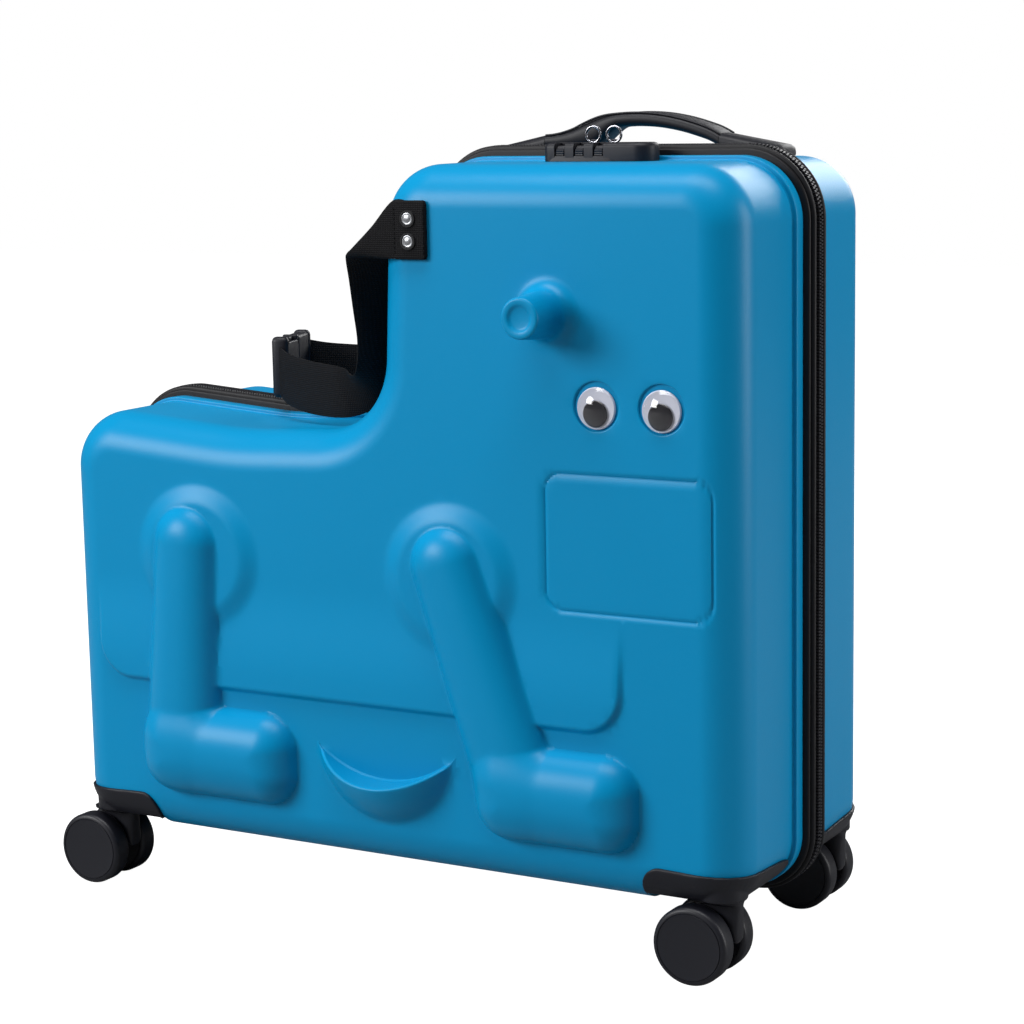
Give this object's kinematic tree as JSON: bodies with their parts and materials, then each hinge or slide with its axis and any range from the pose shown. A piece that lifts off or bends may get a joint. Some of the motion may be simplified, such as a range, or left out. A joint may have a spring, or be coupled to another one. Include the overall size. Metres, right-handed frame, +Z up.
{
  "type": "ride on suitcase",
  "caption": "Hard-shell children's suitcase shaped like a standing animal, with a saddle seat, lap belt, zipped clamshell halves and swivelling twin-wheel casters.",
  "frame": {"origin": "on the floor under the middle of the case, where its bounding box is centred", "axes": "+X to the figure's head, +Y away from the near side to the rear half, +Z up"},
  "size_m": [0.537, 0.274, 0.532],
  "materials": {
    "shell_blue": "satin, fine grain",
    "lining_cloth": "plain woven",
    "edge_rubber": "satin",
    "zip_cloth": "woven tape",
    "black_plastic": "matte",
    "handle_rubber": "satin",
    "wheel_rubber": "satin",
    "steel": "brushed",
    "slider_metal": "satin black",
    "ring_chrome": "polished",
    "webbing": "woven webbing",
    "eye_white": "gloss",
    "eye_clear": "clear",
    "pupil_dark": "gloss"
  },
  "bodies": {
    "rear_case": {"rear_shell": "shell_blue", "rear_lining": "lining_cloth", "rear_edge_trim": "edge_rubber", "rear_zip_tape": "zip_cloth", "hinge_tape": "zip_cloth", "rear_head_bracket": "black_plastic", "rear_tail_bracket": "black_plastic", "rear_caster_screws": "steel", "handle_tail_end": "black_plastic", "handle_head_end": "black_plastic", "handle_grip": "handle_rubber", "rear_belt_strap": "webbing", "rear_rivets": "steel", "buckle_plug": "black_plastic", "rear_eye_plates": "eye_white", "rear_eye_domes": "eye_clear"},
    "front_case": {"front_shell": "shell_blue", "front_lining": "lining_cloth", "front_edge_trim": "edge_rubber", "front_zip_tape": "zip_cloth", "front_head_bracket": "black_plastic", "front_tail_bracket": "black_plastic", "front_caster_screws": "steel", "lock_housing": "black_plastic", "dial_rod": "steel", "front_belt_strap": "webbing", "front_rivets": "steel", "buckle_socket": "black_plastic", "front_eye_plates": "eye_white", "front_eye_domes": "eye_clear"},
    "front_head_caster": {"front_head_fork": "black_plastic", "front_head_axle": "steel"},
    "front_head_wheel_outer": {"front_head_wheel_outer": "wheel_rubber"},
    "front_head_wheel_inner": {"front_head_wheel_inner": "wheel_rubber"},
    "front_head_pupil": {"front_head_pupil": "pupil_dark"},
    "front_tail_caster": {"front_tail_fork": "black_plastic", "front_tail_axle": "steel"},
    "front_tail_wheel_outer": {"front_tail_wheel_outer": "wheel_rubber"},
    "front_tail_wheel_inner": {"front_tail_wheel_inner": "wheel_rubber"},
    "front_tail_pupil": {"front_tail_pupil": "pupil_dark"},
    "rear_head_caster": {"rear_head_fork": "black_plastic", "rear_head_axle": "steel"},
    "rear_head_wheel_outer": {"rear_head_wheel_outer": "wheel_rubber"},
    "rear_head_wheel_inner": {"rear_head_wheel_inner": "wheel_rubber"},
    "rear_head_pupil": {"rear_head_pupil": "pupil_dark"},
    "rear_tail_caster": {"rear_tail_fork": "black_plastic", "rear_tail_axle": "steel"},
    "rear_tail_wheel_outer": {"rear_tail_wheel_outer": "wheel_rubber"},
    "rear_tail_wheel_inner": {"rear_tail_wheel_inner": "wheel_rubber"},
    "rear_tail_pupil": {"rear_tail_pupil": "pupil_dark"},
    "lock_dial_1": {"lock_dial_1": "black_plastic"},
    "lock_dial_2": {"lock_dial_2": "black_plastic"},
    "lock_dial_3": {"lock_dial_3": "black_plastic"},
    "key_cylinder": {"key_cylinder": "steel"},
    "release_button": {"release_button": "black_plastic"},
    "zip_slider_tail": {"zip_slider_tail": "slider_metal"},
    "pull_ring_tail": {"pull_ring_tail": "ring_chrome"},
    "zip_slider_head": {"zip_slider_head": "slider_metal"},
    "pull_ring_head": {"pull_ring_head": "ring_chrome"}
  },
  "joints": [
    {"name": "case_open", "type": "hinge", "parent": "rear_case", "child": "front_case", "pos_m": [-0.266, 0, 0.2], "axis": [0, 0, -1], "range_deg": [0, 150]},
    {"name": "front_head_swivel", "type": "hinge", "parent": "front_case", "child": "front_head_caster", "pos_m": [0.234, -0.083, 0.05], "axis": [0, 0, 1], "continuous": true},
    {"name": "front_head_wheel_outer_spin", "type": "hinge", "parent": "front_head_caster", "child": "front_head_wheel_outer", "pos_m": [0.221, -0.0904, 0.025], "axis": [0, 1, 0], "continuous": true},
    {"name": "front_head_wheel_inner_spin", "type": "hinge", "parent": "front_head_caster", "child": "front_head_wheel_inner", "pos_m": [0.221, -0.0756, 0.025], "axis": [0, 1, 0], "continuous": true},
    {"name": "front_head_pupil_roll", "type": "hinge", "parent": "front_case", "child": "front_head_pupil", "pos_m": [0.204, -0.1032, 0.3555], "axis": [0, 1, 0], "continuous": true},
    {"name": "front_tail_swivel", "type": "hinge", "parent": "front_case", "child": "front_tail_caster", "pos_m": [-0.233, -0.083, 0.05], "axis": [0, 0, 1], "continuous": true},
    {"name": "front_tail_wheel_outer_spin", "type": "hinge", "parent": "front_tail_caster", "child": "front_tail_wheel_outer", "pos_m": [-0.246, -0.0904, 0.025], "axis": [0, 1, 0], "continuous": true},
    {"name": "front_tail_wheel_inner_spin", "type": "hinge", "parent": "front_tail_caster", "child": "front_tail_wheel_inner", "pos_m": [-0.246, -0.0756, 0.025], "axis": [0, 1, 0], "continuous": true},
    {"name": "front_tail_pupil_roll", "type": "hinge", "parent": "front_case", "child": "front_tail_pupil", "pos_m": [0.16, -0.1032, 0.3555], "axis": [0, 1, 0], "continuous": true},
    {"name": "rear_head_swivel", "type": "hinge", "parent": "rear_case", "child": "rear_head_caster", "pos_m": [0.234, 0.083, 0.05], "axis": [0, 0, 1], "continuous": true},
    {"name": "rear_head_wheel_outer_spin", "type": "hinge", "parent": "rear_head_caster", "child": "rear_head_wheel_outer", "pos_m": [0.221, 0.0904, 0.025], "axis": [0, 1, 0], "continuous": true},
    {"name": "rear_head_wheel_inner_spin", "type": "hinge", "parent": "rear_head_caster", "child": "rear_head_wheel_inner", "pos_m": [0.221, 0.0756, 0.025], "axis": [0, 1, 0], "continuous": true},
    {"name": "rear_head_pupil_roll", "type": "hinge", "parent": "rear_case", "child": "rear_head_pupil", "pos_m": [0.204, 0.1032, 0.3555], "axis": [0, 1, 0], "continuous": true},
    {"name": "rear_tail_swivel", "type": "hinge", "parent": "rear_case", "child": "rear_tail_caster", "pos_m": [-0.233, 0.083, 0.05], "axis": [0, 0, 1], "continuous": true},
    {"name": "rear_tail_wheel_outer_spin", "type": "hinge", "parent": "rear_tail_caster", "child": "rear_tail_wheel_outer", "pos_m": [-0.246, 0.0904, 0.025], "axis": [0, 1, 0], "continuous": true},
    {"name": "rear_tail_wheel_inner_spin", "type": "hinge", "parent": "rear_tail_caster", "child": "rear_tail_wheel_inner", "pos_m": [-0.246, 0.0756, 0.025], "axis": [0, 1, 0], "continuous": true},
    {"name": "rear_tail_pupil_roll", "type": "hinge", "parent": "rear_case", "child": "rear_tail_pupil", "pos_m": [0.16, 0.1032, 0.3555], "axis": [0, 1, 0], "continuous": true},
    {"name": "lock_dial_1_turn", "type": "hinge", "parent": "front_case", "child": "lock_dial_1", "pos_m": [0.103, -0.0338, 0.5073], "axis": [1, 0, 0], "continuous": true},
    {"name": "lock_dial_2_turn", "type": "hinge", "parent": "front_case", "child": "lock_dial_2", "pos_m": [0.1166, -0.0338, 0.5073], "axis": [1, 0, 0], "continuous": true},
    {"name": "lock_dial_3_turn", "type": "hinge", "parent": "front_case", "child": "lock_dial_3", "pos_m": [0.1302, -0.0338, 0.5073], "axis": [1, 0, 0], "continuous": true},
    {"name": "key_turn", "type": "hinge", "parent": "front_case", "child": "key_cylinder", "pos_m": [0.145, -0.027, 0.51], "axis": [0, 0, 1], "range_deg": [0, 90]},
    {"name": "button_slide", "type": "slide", "parent": "front_case", "child": "release_button", "axis": [1, 0, 0], "range_m": [0, 0.004], "stiffness_N_per_m": 200},
    {"name": "zip_slider_tail_run", "type": "slide", "parent": "rear_case", "child": "zip_slider_tail", "axis": [-1, 0, 0], "range_m": [0, 0.058]},
    {"name": "pull_ring_tail_swing", "type": "hinge", "parent": "zip_slider_tail", "child": "pull_ring_tail", "pos_m": [0.107, 0, 0.51295], "axis": [1, 0, 0], "range_deg": [-60, 60]},
    {"name": "zip_slider_head_run", "type": "slide", "parent": "rear_case", "child": "zip_slider_head", "axis": [1, 0, 0], "range_m": [0, 0.088]},
    {"name": "pull_ring_head_swing", "type": "hinge", "parent": "zip_slider_head", "child": "pull_ring_head", "pos_m": [0.122, 0, 0.51295], "axis": [1, 0, 0], "range_deg": [-60, 60]}
  ]
}
